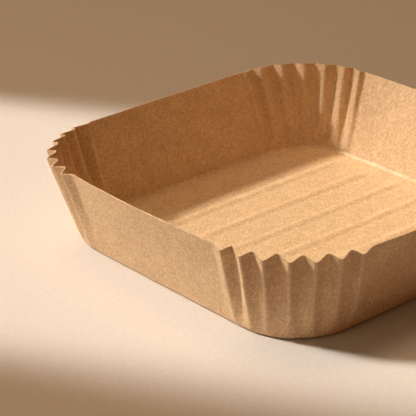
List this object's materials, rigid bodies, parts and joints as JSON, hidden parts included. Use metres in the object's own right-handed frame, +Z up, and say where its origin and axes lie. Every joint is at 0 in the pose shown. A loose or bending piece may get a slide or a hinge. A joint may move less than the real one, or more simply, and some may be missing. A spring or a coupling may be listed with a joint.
{
  "type": "air fryer paper liner",
  "caption": "Square kraft paper liner for an air fryer basket, with a ribbed base, sloping flat walls and round corners gathered in pleats.",
  "frame": {"origin": "middle of the underside, on the surface that the liner rests on", "axes": "+Z up, out of the open top. The base's ribs run along X. +Y points from the front wall to the back wall. The liner is square, so X and Y differ only in the ribs and in the slight bow of the walls."},
  "size_m": [0.2018, 0.2018, 0.046],
  "materials": {
    "kraft_paper": "matte"
  },
  "bodies": {
    "root": {"paper_liner": "kraft_paper"}
  },
  "joints": []
}
